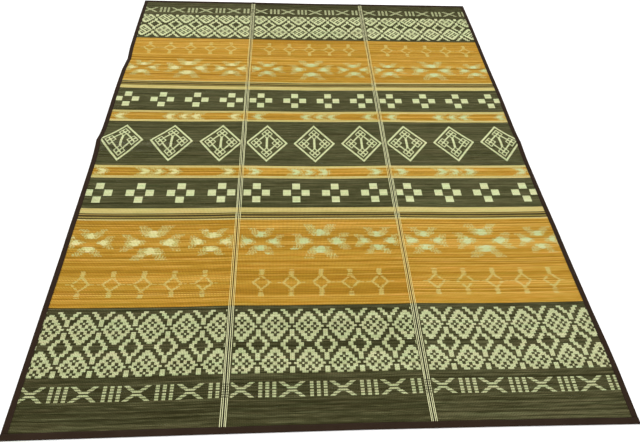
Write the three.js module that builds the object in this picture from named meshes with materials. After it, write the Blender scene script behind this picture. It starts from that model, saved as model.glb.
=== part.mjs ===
// A woven rush rug: one cloth of three lanes joined by raised seams, bound all round with
// folded cloth tape, lying on the floor with its fold marks and its slightly uneven outline.
// Millimetres, +Z up, +X across the lanes, +Y along them. The origin is on the floor,
// under the middle of the rug.

import * as THREE from 'three';

// Driving sizes
const HALF_WIDTH = 951;
const HALF_LENGTH = 1250;
const CLOTH_THICKNESS = 2.2;
const JOIN_WIDTH = 23;
const JOIN_TOP_WIDTH = 15;
const JOIN_RISE = 1.2;
const TAPE_REACH = 20;
const TAPE_THICKNESS = 0.8;
const TAPE_CORNER_RADIUS = 0.7;
const GAP = 0.3;
const SEAT_RAMP = 30;

// Sizes that follow from them
const JOIN_X = HALF_WIDTH / 3;
const TAPE_HEIGHT = CLOTH_THICKNESS + 2 * (TAPE_THICKNESS + GAP);
const CLOTH_SEAT = TAPE_THICKNESS + GAP;
const CLOTH_INSET = TAPE_THICKNESS + GAP;
const FLAT_INSET = TAPE_REACH + 1;
const FLAT_HALF_WIDTH = HALF_WIDTH - FLAT_INSET;
const FLAT_HALF_LENGTH = HALF_LENGTH - FLAT_INSET;

// Fold ridges of the outer lanes. Each rises from its lane's join to the outer edge.
const ridges = [
  { side: -1, crestY: 12, height: 15, nearSpread: 190, farSpread: 120 },
  { side: 1, crestY: 12, height: 10, nearSpread: 170, farSpread: 120 },
];

// Low swells across all lanes, between fold lines.
const swells = [
  { startY: 100, endY: 655, left: 4, middle: 2, right: 2 },
  { startY: -640, endY: -330, left: 1.2, middle: 1.6, right: 1.5 },
];

// How far the side edges lie outside (+) or inside (-) the straight line, in mm.
const leftOutline = [
  { y: -1250, out: 0 },
  { y: -560, out: 0 },
  { y: -178, out: 2.5 },
  { y: -45, out: 2.5 },
  { y: 12, out: 4 },
  { y: 72, out: 3 },
  { y: 250, out: 2.5 },
  { y: 560, out: 2.5 },
  { y: 655, out: -6 },
  { y: 750, out: 0.5 },
  { y: 957, out: 3 },
  { y: 1130, out: 3.5 },
  { y: 1250, out: 3 },
];
const rightOutline = [
  { y: -1250, out: 0 },
  { y: -1150, out: 2.2 },
  { y: -1071, out: 4 },
  { y: -980, out: 3.5 },
  { y: -860, out: 0 },
  { y: -544, out: -2.5 },
  { y: -178, out: -3.5 },
  { y: 12, out: -5 },
  { y: 105, out: -2 },
  { y: 360, out: 1 },
  { y: 700, out: 2 },
  { y: 957, out: 4 },
  { y: 1130, out: 4 },
  { y: 1250, out: 3 },
];

// How far the end edges are drawn in at points across them, and how deep that reaches.
const nearOutline = [
  { x: -HALF_WIDTH, in: 0 },
  { x: -400, in: 3 },
  { x: 100, in: 5 },
  { x: 500, in: 3.5 },
  { x: HALF_WIDTH, in: 0 },
];
const farOutline = [
  { x: -HALF_WIDTH, in: 0 },
  { x: -400, in: 1 },
  { x: 0, in: 4.5 },
  { x: 400, in: 2 },
  { x: HALF_WIDTH, in: 0 },
];
const END_DRAW_DEPTH = 400;

// Grid lines of the cloth, from the middle of the rug outward across a half width
const halfColumns = [
  0, 100, 200, 270,
  JOIN_X - JOIN_WIDTH / 2, JOIN_X - JOIN_TOP_WIDTH / 2,
  JOIN_X + JOIN_TOP_WIDTH / 2, JOIN_X + JOIN_WIDTH / 2,
  400, 520, 640, 760,
  FLAT_HALF_WIDTH - SEAT_RAMP, FLAT_HALF_WIDTH, HALF_WIDTH - CLOTH_INSET,
];

// Grid lines along the rug, close together at the folds
const innerRows = [
  -1150, -1071, -980, -860, -740, -640, -560, -485, -410, -330, -250, -178, -123, -80, -45, -18,
  12, 42, 72, 105, 147, 200, 270, 360, 450, 540, 600, 655, 700, 750, 850, 957, 1050, 1130,
];
const rows = [
  CLOTH_INSET - HALF_LENGTH, -FLAT_HALF_LENGTH, SEAT_RAMP - FLAT_HALF_LENGTH,
  ...innerRows,
  FLAT_HALF_LENGTH - SEAT_RAMP, FLAT_HALF_LENGTH, HALF_LENGTH - CLOTH_INSET,
];
const columns = [...halfColumns.slice(1).reverse().map((x) => -x), ...halfColumns];

const { clamp, mapLinear } = THREE.MathUtils;

function between(table, key, value, place) {
  const next = table.findIndex((row) => row[key] >= place);
  if (next <= 0) return table[Math.max(next, 0)][value];
  const low = table[next - 1];
  const high = table[next];
  return mapLinear(place, low[key], high[key], low[value], high[value]);
}

// From 0 at a join to 1 at the outer edge of the lane on that side
function acrossLane(x, side) {
  return clamp((side * x - JOIN_X) / (FLAT_HALF_WIDTH - JOIN_X), 0, 1);
}

function ridgeLift(x, y) {
  let lift = 0;
  for (const ridge of ridges) {
    const away = y - ridge.crestY;
    const spread = away < 0 ? ridge.nearSpread : ridge.farSpread;
    const slope = Math.max(0, 1 - Math.abs(away) / spread);
    lift += ridge.height * acrossLane(x, ridge.side) * slope ** 2;
  }
  return lift;
}

function swellLift(x, y) {
  let lift = 0;
  for (const swell of swells) {
    const along = clamp((y - swell.startY) / (swell.endY - swell.startY), 0, 1);
    const left = acrossLane(x, -1) * swell.left;
    const right = acrossLane(x, 1) * swell.right;
    const middle = Math.max(0, 1 - (x / JOIN_X) ** 2) * swell.middle;
    lift += (left + middle + right) * Math.sin(along * Math.PI) ** 2;
  }
  return lift;
}

// Height of the underside over the floor, level across the width that the tape covers
function foldLift(x, y) {
  const flatX = clamp(x, -FLAT_HALF_WIDTH, FLAT_HALF_WIDTH);
  const flatY = clamp(y, -FLAT_HALF_LENGTH, FLAT_HALF_LENGTH);
  return ridgeLift(flatX, flatY) + swellLift(flatX, flatY);
}

// The cloth sits on the lower leaf of the tape at the edges and on the floor inside them
function seatLift(x, y) {
  const inside = Math.min(FLAT_HALF_WIDTH - Math.abs(x), FLAT_HALF_LENGTH - Math.abs(y));
  return CLOTH_SEAT * (1 - clamp(inside / SEAT_RAMP, 0, 1));
}

// The seams are thicker than the lanes, where the ends of the rushes lie over each other
function joinRise(x) {
  const fromJoin = Math.abs(Math.abs(x) - JOIN_X);
  const shoulder = (JOIN_WIDTH - JOIN_TOP_WIDTH) / 2;
  return JOIN_RISE * clamp((JOIN_WIDTH / 2 - fromJoin) / shoulder, 0, 1);
}

// The place on the floor of a point of the flat rug, with its uneven outline
function outlineShift(x, y) {
  const left = between(leftOutline, 'y', 'out', y) * acrossLane(x, -1);
  const right = between(rightOutline, 'y', 'out', y) * acrossLane(x, 1);
  const drawn = 1 - clamp((FLAT_HALF_LENGTH - Math.abs(y)) / END_DRAW_DEPTH, 0, 1);
  const drawnIn = between(y < 0 ? nearOutline : farOutline, 'x', 'in', x);
  return { x: x - left + right, y: y - Math.sign(y) * drawn * drawnIn };
}

function clothGeometry() {
  const across = columns.length - 1;
  const along = rows.length - 1;
  const geometry = new THREE.BoxGeometry(across, along, 1, across, along, 1);
  const points = geometry.attributes.position;
  for (let i = 0; i < points.count; i += 1) {
    const x = columns[Math.round(points.getX(i) + across / 2)];
    const y = rows[Math.round(points.getY(i) + along / 2)];
    const isTop = points.getZ(i) > 0;
    const place = outlineShift(x, y);
    const underside = foldLift(x, y) + seatLift(x, y);
    const height = isTop ? CLOTH_THICKNESS + joinRise(x) : 0;
    points.setXYZ(i, place.x, place.y, underside + height);
  }
  geometry.computeVertexNormals();
  return geometry;
}

// Section of the folded tape: x runs in from the edge of the rug, y is the height
function tapeSection() {
  const radius = TAPE_CORNER_RADIUS;
  const section = new THREE.Shape();
  section.moveTo(TAPE_REACH, 0);
  section.lineTo(TAPE_REACH, TAPE_THICKNESS);
  section.lineTo(TAPE_THICKNESS, TAPE_THICKNESS);
  section.lineTo(TAPE_THICKNESS, TAPE_HEIGHT - TAPE_THICKNESS);
  section.lineTo(TAPE_REACH, TAPE_HEIGHT - TAPE_THICKNESS);
  section.lineTo(TAPE_REACH, TAPE_HEIGHT);
  section.lineTo(radius, TAPE_HEIGHT);
  section.absarc(radius, TAPE_HEIGHT - radius, radius, Math.PI / 2, Math.PI, false);
  section.lineTo(0, radius);
  section.absarc(radius, radius, radius, Math.PI, Math.PI * 1.5, false);
  return section;
}

// The section run through a list of stations. placeAt gives the flat place of a point from
// its distance in from the edge and its station.
function tapeGeometry(stations, placeAt) {
  const steps = stations.length - 1;
  const settings = { depth: steps, steps, bevelEnabled: false, curveSegments: 3 };
  const geometry = new THREE.ExtrudeGeometry(tapeSection(), settings);
  const points = geometry.attributes.position;
  for (let i = 0; i < points.count; i += 1) {
    const flat = placeAt(points.getX(i), stations[Math.round(points.getZ(i))]);
    const place = outlineShift(flat.x, flat.y);
    const isUpper = points.getY(i) > TAPE_HEIGHT / 2;
    const rise = foldLift(flat.x, flat.y) + (isUpper ? joinRise(flat.x) : 0);
    points.setXYZ(i, place.x, place.y, points.getY(i) + rise);
  }
  geometry.computeVertexNormals();
  return geometry;
}

// Side tapes run between the end tapes, and end tapes run the full width.
function sideTape(side) {
  const end = HALF_LENGTH - TAPE_REACH - GAP;
  const stations = [-end, ...innerRows, end];
  if (side < 0) stations.reverse();
  return tapeGeometry(stations, (inset, y) => ({ x: side * (HALF_WIDTH - inset), y }));
}

function endTape(end) {
  const stations = [-HALF_WIDTH, ...columns.slice(1, -1), HALF_WIDTH];
  if (end > 0) stations.reverse();
  return tapeGeometry(stations, (inset, x) => ({ x, y: end * (HALF_LENGTH - inset) }));
}

const rush = new THREE.MeshStandardMaterial({ color: 0x8c7c45, roughness: 0.75, metalness: 0 });
const tape = new THREE.MeshStandardMaterial({ color: 0x3a2a26, roughness: 0.9, metalness: 0 });

function piece(name, geometry, material) {
  const mesh = new THREE.Mesh(geometry, material);
  mesh.name = name;
  return mesh;
}

const rug = new THREE.Group();
rug.add(
  piece('rush_cloth', clothGeometry(), rush),
  piece('binding_left', sideTape(-1), tape),
  piece('binding_right', sideTape(1), tape),
  piece('binding_near', endTape(-1), tape),
  piece('binding_far', endTape(1), tape),
);

export default rug;
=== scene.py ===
"""A woven rush rug: three lanes of dyed rushes on warp threads, two raised joins with pale warp
cords, and a folded cloth tape sewn round the edge. It lies on a pale floor with its fold marks.
Lengths are metres, and the pattern charts are in millimetres, multiplied by MM where they are used."""

import bisect
import math
import random

import bpy
import numpy as np
from mathutils import Matrix, Vector


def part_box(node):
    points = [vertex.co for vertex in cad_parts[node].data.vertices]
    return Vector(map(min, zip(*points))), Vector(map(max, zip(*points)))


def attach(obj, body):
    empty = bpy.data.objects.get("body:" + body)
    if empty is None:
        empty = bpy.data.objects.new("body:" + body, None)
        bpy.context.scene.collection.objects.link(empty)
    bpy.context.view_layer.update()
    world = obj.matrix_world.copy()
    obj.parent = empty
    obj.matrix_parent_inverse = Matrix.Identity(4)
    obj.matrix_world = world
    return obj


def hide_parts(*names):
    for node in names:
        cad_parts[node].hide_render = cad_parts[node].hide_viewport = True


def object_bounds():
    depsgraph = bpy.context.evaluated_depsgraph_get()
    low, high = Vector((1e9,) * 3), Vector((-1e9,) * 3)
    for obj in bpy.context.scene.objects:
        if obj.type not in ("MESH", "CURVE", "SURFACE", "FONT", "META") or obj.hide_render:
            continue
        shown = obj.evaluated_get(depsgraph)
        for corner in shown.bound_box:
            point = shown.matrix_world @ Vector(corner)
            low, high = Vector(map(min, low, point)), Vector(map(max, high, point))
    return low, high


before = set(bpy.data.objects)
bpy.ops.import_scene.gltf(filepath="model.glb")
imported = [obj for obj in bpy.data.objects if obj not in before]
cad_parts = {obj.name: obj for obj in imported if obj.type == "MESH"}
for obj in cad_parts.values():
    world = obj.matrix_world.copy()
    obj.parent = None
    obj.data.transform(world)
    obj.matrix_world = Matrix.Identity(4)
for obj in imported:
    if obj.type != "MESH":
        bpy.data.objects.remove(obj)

bl_info = {
    "name": "Rush Rug",
    "version": (1, 0, 0),
    "blender": (4, 5, 0),
    "location": "3D View > Sidebar > Rush Rug",
    "description": "Weaves a rush rug in three lanes, binds it with cloth tape and sets its stage",
    "category": "Add Mesh",
}

MM = 0.001
CAD_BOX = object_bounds()
ROOT = "root"
SIDES = {"left": -1, "right": 1}
ENDS = {"near": -1, "far": 1}


# Colours
def display(red, green, blue):
    """A colour as a picture shows it, from 0 to 255, as the linear colour that Blender keeps."""
    return tuple((part / 255 / 12.92 if part <= 10 else ((part / 255 + 0.055) / 1.055) ** 2.4)
                 for part in (red, green, blue))


# Each dye has three tones: its darkest rushes, its usual ones and its lightest.
DYES = {
    "olive": (display(42, 40, 10), display(66, 64, 36), display(100, 97, 66)),
    "moss": (display(48, 47, 16), display(74, 73, 42), display(103, 100, 68)),
    "pale": (display(155, 161, 112), display(186, 190, 146), display(212, 215, 172)),
    "light": (display(174, 178, 128), display(203, 208, 160), display(224, 227, 184)),
    "orange": (display(152, 110, 20), display(183, 139, 43), display(214, 171, 84)),
    "cream": (display(170, 152, 84), display(200, 184, 116), display(220, 208, 148)),
    "sage": (display(172, 178, 118), display(194, 201, 147), display(214, 216, 166)),
    "ivory": (display(196, 188, 120), display(215, 208, 149), display(230, 223, 173)),
    "faded": (display(180, 152, 72), display(198, 175, 98), display(210, 196, 130)),
    "mottle": (display(172, 154, 84), display(192, 180, 112), display(206, 200, 138)),
    "umber": (display(36, 28, 6), display(62, 51, 18), display(94, 80, 38)),
    "tan": (display(116, 100, 42), display(156, 137, 72), display(188, 168, 100)),
}
DYE_NAMES = list(DYES)


# Fold marks and outline of the rug, in mm, as the cloth's solid has them
RIDGES = (
    {"side": -1, "crest": 12, "height": 15, "near": 190, "far": 120},
    {"side": 1, "crest": 12, "height": 10, "near": 170, "far": 120},
)
SWELLS = (
    {"start": 100, "end": 655, "left": 4, "middle": 2, "right": 2},
    {"start": -640, "end": -330, "left": 1.2, "middle": 1.6, "right": 1.5},
)
LEFT_OUTLINE = {
    "y": (-1250, -560, -178, -45, 12, 72, 250, 560, 655, 750, 957, 1130, 1250),
    "out": (0, 0, 2.5, 2.5, 4, 3, 2.5, 2.5, -6, 0.5, 3, 3.5, 3),
}
RIGHT_OUTLINE = {
    "y": (-1250, -1150, -1071, -980, -860, -544, -178, 12, 105, 360, 700, 957, 1130, 1250),
    "out": (0, 2.2, 4, 3.5, 0, -2.5, -3.5, -5, -2, 1, 2, 4, 4, 3),
}
NEAR_OUTLINE = {"x": (-951, -400, 100, 500, 951), "in": (0, 3, 5, 3.5, 0)}
FAR_OUTLINE = {"x": (-951, -400, 0, 400, 951), "in": (0, 1, 4.5, 2, 0)}
END_DRAW_DEPTH = 400
HALF_WIDTH = round(-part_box("binding_near")[0][0] / MM)
HALF_LENGTH = round(CAD_BOX[1][1] / MM)
TAPE_REACH = 20
CLOTH_SEAT = 1.1
SEAT_RAMP = 30
FLAT_HALF_WIDTH = HALF_WIDTH - TAPE_REACH - 1
FLAT_HALF_LENGTH = HALF_LENGTH - TAPE_REACH - 1
JOIN_X = HALF_WIDTH / 3
JOIN_HALF_WIDTH = 11.5
JOIN_HALF_TOP = 7.5
JOIN_RISE = 1.2
RUSH_SHARE = 0.8  # how much of a join's rise the rushes make up, with the warp cords over them
CLOTH_THICKNESS = 2.2


def across_lane(x, side):
    """From 0 at a join to 1 at the outer edge of the lane on that side."""
    return np.clip((side * x - JOIN_X) / (FLAT_HALF_WIDTH - JOIN_X), 0, 1)


def fold_lift(x, y):
    """Height of the cloth's underside over the floor, in mm, level under the tape."""
    x = np.clip(x, -FLAT_HALF_WIDTH, FLAT_HALF_WIDTH)
    y = np.clip(y, -FLAT_HALF_LENGTH, FLAT_HALF_LENGTH)
    lift = np.zeros(np.broadcast(x, y).shape)
    for ridge in RIDGES:
        away = y - ridge["crest"]
        spread = np.where(away < 0, ridge["near"], ridge["far"])
        slope = np.clip(1 - np.abs(away) / spread, 0, 1)
        lift = lift + ridge["height"] * across_lane(x, ridge["side"]) * slope ** 2
    middle = np.clip(1 - (x / JOIN_X) ** 2, 0, 1)
    for swell in SWELLS:
        along = np.clip((y - swell["start"]) / (swell["end"] - swell["start"]), 0, 1)
        across = (across_lane(x, -1) * swell["left"] + middle * swell["middle"]
                  + across_lane(x, 1) * swell["right"])
        lift = lift + across * np.sin(along * np.pi) ** 2
    return lift


def seat_lift(x, y):
    """The cloth's rise onto the lower leaf of the tape, in mm."""
    inside = np.minimum(FLAT_HALF_WIDTH - np.abs(x), FLAT_HALF_LENGTH - np.abs(y))
    return CLOTH_SEAT * (1 - np.clip(inside / SEAT_RAMP, 0, 1))


def join_rise(x):
    """How much thicker the cloth is at a join, in mm."""
    from_join = np.abs(np.abs(x) - JOIN_X)
    return JOIN_RISE * np.clip((JOIN_HALF_WIDTH - from_join) / (JOIN_HALF_WIDTH - JOIN_HALF_TOP), 0, 1)


def outline_place(x, y):
    """Where a point of the flat rug lies on the floor, with the uneven outline, in mm."""
    left = np.interp(y, LEFT_OUTLINE["y"], LEFT_OUTLINE["out"]) * across_lane(x, -1)
    right = np.interp(y, RIGHT_OUTLINE["y"], RIGHT_OUTLINE["out"]) * across_lane(x, 1)
    drawn = 1 - np.clip((FLAT_HALF_LENGTH - np.abs(y)) / END_DRAW_DEPTH, 0, 1)
    near = np.interp(x, NEAR_OUTLINE["x"], NEAR_OUTLINE["in"])
    far = np.interp(x, FAR_OUTLINE["x"], FAR_OUTLINE["in"])
    return x - left + right, y + drawn * np.where(y < 0, near, -far)


# Pattern charts. A span is a pair of places across a lane, in mm. Half spans are given to the
# right of a motif's middle and are mirrored, and one that starts at 0 crosses the middle. Each
# motif is a function of a place along the near half of the rug, whether the row woven from it lies
# in the far half, and the random draws. It gives the dyed spans of that row.
LANE_WIDTH = 2 * JOIN_X
UNIT = 4.315  # one column of the chart
ROW = 11.0  # one row of the chart


def mirrored(middle, half_spans):
    """Spans on both sides of a middle."""
    spans = []
    for start, end in half_spans:
        if start <= 0:
            spans.append((middle - end, middle + end))
        else:
            spans.append((middle - end, middle - start))
            spans.append((middle + start, middle + end))
    return spans


def tidy_spans(spans):
    """Spans in order, with those that touch joined."""
    joined = []
    for start, end in sorted(spans):
        if joined and start <= joined[-1][1] + 0.05:
            joined[-1] = (joined[-1][0], max(joined[-1][1], end))
        else:
            joined.append((start, end))
    return joined


def cut_out(spans, holes):
    """What the holes leave of the spans."""
    for low, high in holes:
        left = [(start, min(end, low)) for start, end in spans if start < low]
        right = [(max(start, high), end) for start, end in spans if end > high]
        spans = left + right
    return [(start, end) for start, end in spans if end - start > 0.2]


# The lattice of big lozenges, with rings and rods between them
LATTICE_REPEAT = 26 * UNIT
LATTICE_FIRST = 9.5 * UNIT
LATTICE_COUNT = 6
LATTICE_ROW_A = 217
LATTICE_ROW_B = LATTICE_ROW_A + 12 * ROW
# Steps of a shape from its middle outwards: rows away, half columns
LOZENGE_STEPS = ((0.35, 11.9), (1.35, 9.8), (2.35, 7.8), (3.35, 5.85), (4.35, 3.85), (5.02, 1.85))
# Steps of a ring: rows away, from and to columns
RING_STEPS = ((0.67, 5.1, 8.8), (1.67, 3.15, 6.8), (2.67, 1.15, 4.8))
FLOWER_PLACES = ((0, 2), (0, -2), (5, 0), (-5, 0))  # columns and rows from the middle
SIDE_PETAL = (0.75, 3.3)  # from and to columns
END_PETAL = 1.3  # half columns
PETAL_ROWS = (0.35, 1.35)  # how far the side petals and the end petals reach
ROD_ROWS = (0.9, 3.4)
ROD_HALF = 1.8


def lattice(place, far, rng):
    """Stepped lozenges, rings and rods, with flowers of four petals cut out of them."""
    pale = []
    holes = []
    middles = [LATTICE_FIRST + i * LATTICE_REPEAT for i in range(-1, LATTICE_COUNT + 1)]
    for row_middle in (LATTICE_ROW_A, LATTICE_ROW_B):
        rows = (place - row_middle) / ROW
        half = next((columns for limit, columns in LOZENGE_STEPS if abs(rows) < limit), None)
        for middle in middles:
            if half:
                pale += mirrored(middle, [(0, half * UNIT)])
            if ROD_ROWS[0] < abs(rows) < ROD_ROWS[1]:
                pale += mirrored(middle + LATTICE_REPEAT / 2, [(0, ROD_HALF * UNIT)])
            for column, row in FLOWER_PLACES:
                petal = abs(rows - row)
                if petal < PETAL_ROWS[0]:
                    holes += mirrored(middle + column * UNIT, [tuple(edge * UNIT for edge in SIDE_PETAL)])
                elif petal < PETAL_ROWS[1]:
                    holes += mirrored(middle + column * UNIT, [(0, END_PETAL * UNIT)])
    for ring_middle in (LATTICE_ROW_A + 6 * ROW, LATTICE_ROW_B + 6 * ROW):
        rows = abs(place - ring_middle) / ROW
        step = next((step for step in RING_STEPS if rows < step[0]), None)
        if step:
            for middle in middles:
                pale += mirrored(middle + LATTICE_REPEAT / 2, [(step[1] * UNIT, step[2] * UNIT)])
    return [(span, "pale") for span in cut_out(tidy_spans(pale), holes)]


# The row of crosses and triple bars, in dashes
DASH_MIDDLE = 131
DASH_PITCH = 8.15
DASH_PICKS = 4
DASH_REACH = 3 * DASH_PITCH
DASH_SLANT = 2.9  # how far a cross's dash moves out from one row of rush to the next
CROSS_MIDDLES = (47.8, 206.3, 365.5, 526)
CROSS_DASHES = ((0, 16.5), (11, 29), (22, 38.5))  # by rows of dashes from the middle
BAR_MIDDLES = (129.5, 289.5, 448.2)
BAR_PITCH = 21.6
BAR_HALF = 5.8
LAST_BARS = (588, 609.8)


def dashes(place, far, rng):
    """Crosses of slanting dashes with three short bars between them."""
    away = abs(place - DASH_MIDDLE)
    rows = away / DASH_PITCH
    part = int((rows % 1) * DASH_PICKS)
    if part == 0 or away > DASH_REACH:
        return []
    out = (part - DASH_PICKS / 2) * DASH_SLANT
    start, end = CROSS_DASHES[int(rows)]
    spans = []
    for middle in CROSS_MIDDLES:
        spans += mirrored(middle, [(start + out if start else 0, end + out)])
    for middle in BAR_MIDDLES:
        for bar in (-1, 0, 1):
            spans += mirrored(middle + bar * BAR_PITCH, [(0, BAR_HALF)])
    for middle in LAST_BARS:
        spans += mirrored(middle, [(0, BAR_HALF)])
    return [(span, "pale") for span in spans]


# Four checks set round a middle one of the ground
CHECK_MIDDLE = 960.4
CHECK_MIDDLES = (67.2, 230.5, 391.8, 554.7)
CHECK_OUT = 37.2
CHECK_HALF = (16.2, 16.8)  # across and along the rug
SIDE_CHECK = (22.3, 54.7)


def checks(place, far, rng):
    away = abs(place - CHECK_MIDDLE)
    half_spans = []
    if away < CHECK_HALF[1]:
        half_spans.append(SIDE_CHECK)
    if abs(away - CHECK_OUT) < CHECK_HALF[1]:
        half_spans.append((0, CHECK_HALF[0]))
    return [(span, "light") for middle in CHECK_MIDDLES for span in mirrored(middle, half_spans)]


# The large lozenges, each with four clusters of small ones, links and a bar
MIRROR_LINE = 1264.8  # the design is the same on both sides of this line
MEDAL_MIDDLES = (103.9, 317, 531.2)
MEDAL_HALF = (93.6, 121.2)
MEDAL_LINE = 0.885  # size of the space inside the outline, as a share of the whole
CLUSTER_OUT = 0.5  # how far out the clusters lie, as a share of the lozenge's half size
CLUSTER_HALF = (26.2, 32.5)
CLUSTERS = ((0, 1), (0, -1), (1, 0))  # out across and out along, and mirrored
HOLE_OUT = 0.465
HOLE_SIZE = 0.31
HOLES = ((0, 1), (0, -1), (1, 0), (-1, 0))
LINK = (0.475, 0.57)
LINK_FREE = 0.14
BAR_REACH = 0.28
BAR_HALF_WIDTH = 5


def lozenge_half(half_width, half_height, away):
    """Half the width of a lozenge at a distance from its middle."""
    return half_width * max(0.0, 1 - abs(away) / half_height)


def cluster_spans(away):
    """Half spans of the clusters of small lozenges and of their holes, at a distance along."""
    wide, high = MEDAL_HALF
    clusters, holes = [], []
    for out_x, out_y in CLUSTERS:
        middle = out_x * CLUSTER_OUT * wide
        from_cluster = away - out_y * CLUSTER_OUT * high
        half = lozenge_half(*CLUSTER_HALF, from_cluster)
        if half > 0:
            clusters.append((max(0, middle - half), middle + half))
        for hole_x, hole_y in HOLES:
            hole_middle = middle + hole_x * HOLE_OUT * CLUSTER_HALF[0]
            from_hole = from_cluster - hole_y * HOLE_OUT * CLUSTER_HALF[1]
            hole = lozenge_half(CLUSTER_HALF[0] * HOLE_SIZE, CLUSTER_HALF[1] * HOLE_SIZE, from_hole)
            if hole > 0:
                holes.append((hole_middle - hole, hole_middle + hole))
    return clusters, holes


def medals(place, far, rng):
    """Half a row of large lozenges, which the far half of the rug completes."""
    wide, high = MEDAL_HALF
    away = place - MIRROR_LINE
    outer = lozenge_half(wide, high, away)
    if outer <= 0:
        return []
    inner = lozenge_half(wide * MEDAL_LINE, high * MEDAL_LINE, away)
    half_spans = [(inner, outer)]
    link_in, link_out = (lozenge_half(wide * d, high * d, away) for d in LINK)
    if link_out > wide * LINK_FREE and abs(away) > high * LINK_FREE:
        half_spans.append((max(link_in, wide * LINK_FREE), link_out))
    if abs(away) < high * BAR_REACH:
        half_spans.append((0, BAR_HALF_WIDTH))
    clusters, holes = cluster_spans(away)
    half_spans = cut_out(tidy_spans(half_spans + clusters), holes)
    return [(span, "light") for middle in MEDAL_MIDDLES for span in mirrored(middle, half_spans)]


# Feathered stars, with runs that end unevenly as in yarn dyed before it is woven
STAR_MIDDLE = 709
STARS = (  # place across the lane, size
    {"at": 92, "size": 0.78}, {"at": 319, "size": 1.0}, {"at": 540, "size": 0.8},
)
STAR_BLOBS = (  # out across, out along, half across, half along
    (0, 40, 23, 14), (0, -40, 23, 14), (64, 0, 23, 12), (-64, 0, 23, 12),
)
BLOB_EDGE = 3
BLOB_CORE = (0.68, 0.95)  # how much of a blob's width its solid core has
BLOB_HALO = 15
# The pointed ears of the blobs, from and to: out along, out across, half width
STAR_EARS = (((26, 81), (10, 49), (25, 19)), ((2, 40), (66, 100), (24, 16)))
EAR_CORE_CHANCE = 0.04
EAR_CORE = (0.35, 0.75)
EAR_KEPT = 0.95
HALO_KEPT = 0.95
FEATHER = 7
SPECK = (3, 9)  # shortest and longest run of a speckled patch
SPECK_GAP = (2, 6)


def uneven(rng, span, feather):
    """A span whose ends are moved by up to feather."""
    return (span[0] + rng.uniform(-feather, feather), span[1] + rng.uniform(-feather, feather))


def speckled(rng, span):
    """Short runs with bare gaps between them, from one end of a span to the other."""
    place = span[0] + rng.uniform(0, SPECK_GAP[1])
    found = []
    while place < span[1]:
        end = min(span[1], place + rng.uniform(*SPECK))
        found.append(((place, end), "mottle"))
        place = end + rng.uniform(*SPECK_GAP)
    return found


def around_point(middle, half):
    return (middle - half, middle + half)


def ears(star, away, rng):
    """Speckled spans of a star's ears at a distance from its middle, and a few solid ones."""
    halos, cores = [], []
    size, middle = star["size"], star["at"]
    for along, across, halves in STAR_EARS:
        if not along[0] < abs(away) < along[1]:
            continue
        reach = (abs(away) - along[0]) / (along[1] - along[0])
        at = across[0] + (across[1] - across[0]) * reach
        half = halves[0] + (halves[1] - halves[0]) * reach
        for side in (-1, 1):
            if rng.random() < EAR_KEPT:
                ear = (middle + size * (side * at - half), middle + size * (side * at + half))
                halos += speckled(rng, uneven(rng, ear, FEATHER))
            if rng.random() < EAR_CORE_CHANCE * (1.3 - reach):
                half_core = half * rng.uniform(*EAR_CORE)
                core = (middle + size * (side * at - half_core), middle + size * (side * at + half_core))
                cores.append((uneven(rng, core, FEATHER), "sage"))
    return halos, cores


def blobs(star, away, rng):
    """Spans of a star's four round blobs: their speckled halos and their solid cores."""
    halos, cores = [], []
    size = star["size"]
    for out_x, out_y, half_x, half_y in STAR_BLOBS:
        from_blob = (away - out_y) / (half_y + BLOB_EDGE)
        if abs(from_blob) >= 1:
            continue
        half = half_x * math.sqrt(1 - from_blob ** 2)
        at = star["at"] + size * out_x
        if rng.random() < HALO_KEPT:
            halos += speckled(rng, uneven(rng, around_point(at, size * (half + BLOB_HALO)), FEATHER))
        half *= rng.uniform(*BLOB_CORE)
        cores.append((uneven(rng, around_point(at, size * half), FEATHER), "sage"))
    return halos, cores


def stars(place, far, rng):
    """Stars of four blobs and eight ears, with the solid cores over the speckled halos."""
    halos, cores = [], []
    for star in STARS:
        away = (place - STAR_MIDDLE) / star["size"]
        for draw in (ears, blobs):
            more_halos, more_cores = draw(star, away, rng)
            halos += more_halos
            cores += more_cores
    return halos + cores


# A chain of small lozenges drawn in soft broken lines, each with a stem at either end
CHAIN_MIDDLE = 524
CHAIN_MIDDLES = (102, 209, 317, 423, 530.5)
CHAIN_HALF = (35, 34.5)
CHAIN_LINE = 11
STEM = {"from": 30, "to": 57, "half": 8.5}
CHAIN_FEATHER = 2.5
CHAIN_KEPT = 0.9
CHAIN_LINK = 15


def chain(place, far, rng):
    spans = []
    away = abs(place - CHAIN_MIDDLE)
    half = lozenge_half(*CHAIN_HALF, away)
    for middle in CHAIN_MIDDLES:
        if half > 0:
            spans += mirrored(middle, [(max(0, half - CHAIN_LINE), half)])
        if STEM["from"] < away < STEM["to"]:
            spans += mirrored(middle, [(0, STEM["half"])])
        if away < 3:
            spans += mirrored(middle, [(CHAIN_HALF[0], CHAIN_HALF[0] + CHAIN_LINK)])
    return [(uneven(rng, span, CHAIN_FEATHER), "faded") for span in spans if rng.random() < CHAIN_KEPT]


# Arrow heads along the narrow orange bands, with the middle one of three smaller
ARROW_MIDDLE = 1082
ARROWS = ((58, 1), (232, 1), (289, 0.88), (353, 1), (577, 1))  # place across the lane, size
ARROW_HALF_HEIGHT = 16
ARROW_HALO = 10
ARROW_CORE_INSET = 5
ARROW_FEATHER = 4
ARROW_SLANT = 1.15
ARROW_TIP, ARROW_TAIL = 24, -9


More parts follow.
